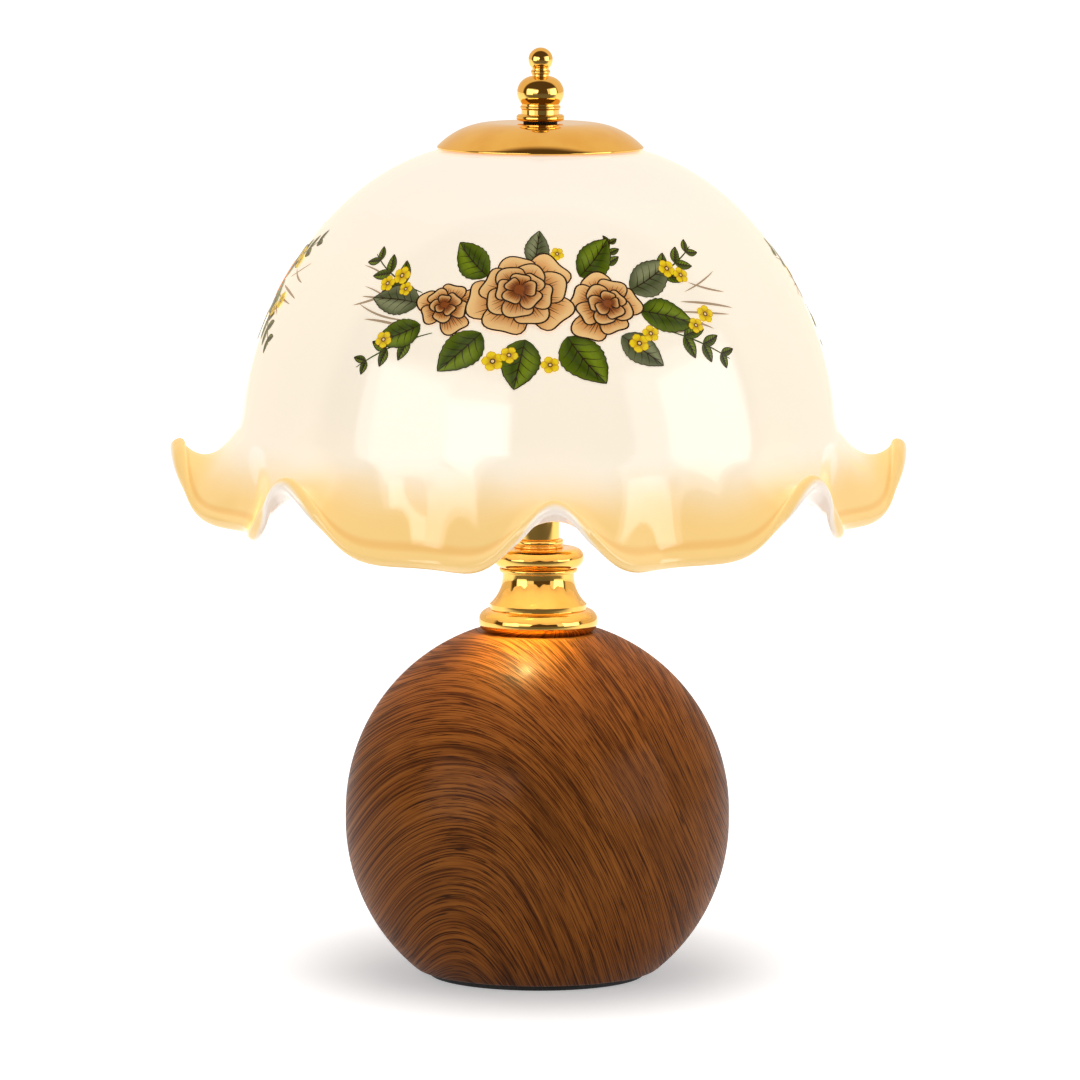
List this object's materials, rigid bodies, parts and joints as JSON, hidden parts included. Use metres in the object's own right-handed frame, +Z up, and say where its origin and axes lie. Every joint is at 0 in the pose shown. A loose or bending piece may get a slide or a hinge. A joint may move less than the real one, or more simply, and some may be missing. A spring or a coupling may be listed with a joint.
{
  "type": "table lamp",
  "caption": "Table lamp with a turned wooden ball base, a polished brass neck and finial, and a ruffled opal glass shade that lifts off over a screw-in bulb.",
  "frame": {"origin": "middle of the foot pad's underside, on the surface that the lamp stands on", "axes": "+Z up along the column, -Y to the front, so the cord inlet faces +Y, and +X to the right seen from the front"},
  "size_m": [0.2514, 0.2514, 0.318],
  "materials": {
    "wood": "oiled brown hardwood, satin",
    "brass": "polished and lacquered",
    "carrier_brass": "plain, satin",
    "steel": "zinc plated",
    "black_rubber": "matt",
    "black_plastic": "matt",
    "phenolic": "moulded, satin",
    "porcelain": "glazed",
    "brown_lead": "soft insulation",
    "blue_lead": "soft insulation",
    "silicone": "soft, translucent white",
    "opal_glass": "glossy opal, cream grading to amber at the rim",
    "bulb_metal": "nickel plated",
    "bulb_white": "frosted white",
    "circuit_board": "white solder mask"
  },
  "bodies": {
    "stand": {"ball_base": "wood", "foot_pad": "black_rubber", "base_plate": "steel", "base_plate_screws": "steel", "cord_bush": "black_plastic", "terminal_block": "porcelain", "terminal_screws": "steel", "lead_live": "brown_lead", "lead_neutral": "blue_lead", "rod": "carrier_brass", "rod_washer": "steel", "rod_lock_washer": "steel", "rod_nut": "steel", "neck_bell": "brass", "neck_collar": "brass", "column_tube": "brass", "column_flange": "brass", "harp_saddle": "carrier_brass", "upper_nut": "carrier_brass", "harp_arch": "carrier_brass", "harp_screws": "steel", "harp_nuts": "steel", "shade_seat": "carrier_brass", "shade_stud": "carrier_brass", "stud_nut": "carrier_brass", "holder_cap": "phenolic", "holder_core": "porcelain", "holder_body": "phenolic", "holder_screw_shell": "carrier_brass", "holder_contact": "carrier_brass", "holder_terminal_screws": "carrier_brass", "holder_grub_screw": "steel"},
    "bulb_tip": {"bulb_contact": "bulb_metal"},
    "bulb": {"bulb_insulator": "black_plastic", "bulb_cap": "bulb_metal", "bulb_skirt": "bulb_white", "bulb_dome": "bulb_white", "led_board": "circuit_board"},
    "shade_ring": {"shade_gasket": "silicone"},
    "shade": {"shade": "opal_glass", "shade_bush": "carrier_brass"},
    "shade_cap": {"shade_cap": "brass"},
    "finial_washer": {"finial_washer": "black_rubber"},
    "finial": {"finial": "brass"}
  },
  "joints": [
    {"name": "shade_lift", "type": "slide", "parent": "stand", "child": "shade_ring", "axis": [0, 0, 1], "range_m": [0, 0.16]},
    {"name": "shade_turn", "type": "hinge", "parent": "shade_ring", "child": "shade", "pos_m": [0, 0, 0.28], "axis": [0, 0, 1], "continuous": true},
    {"name": "cap_lift", "type": "slide", "parent": "shade", "child": "shade_cap", "axis": [0, 0, 1], "range_m": [0, 0.03]},
    {"name": "finial_lift", "type": "slide", "parent": "shade_cap", "child": "finial_washer", "axis": [0, 0, 1], "range_m": [0, 0.0101]},
    {"name": "finial_turn", "type": "hinge", "parent": "finial_washer", "child": "finial", "pos_m": [0, 0, 0.2931], "axis": [0, 0, 1], "range_deg": [0, 3600]},
    {"name": "bulb_lift", "type": "slide", "parent": "stand", "child": "bulb_tip", "axis": [0, 0, 1], "range_m": [0, 0.0146]},
    {"name": "bulb_turn", "type": "hinge", "parent": "bulb_tip", "child": "bulb", "pos_m": [0, 0, 0.19], "axis": [0, 0, 1], "range_deg": [0, 1440]}
  ],
  "couplings": [
    {"joint": "finial_lift", "follows": "finial_turn", "m_per_rad": 0.00015915},
    {"joint": "bulb_lift", "follows": "bulb_turn", "m_per_rad": 0.00057614}
  ]
}
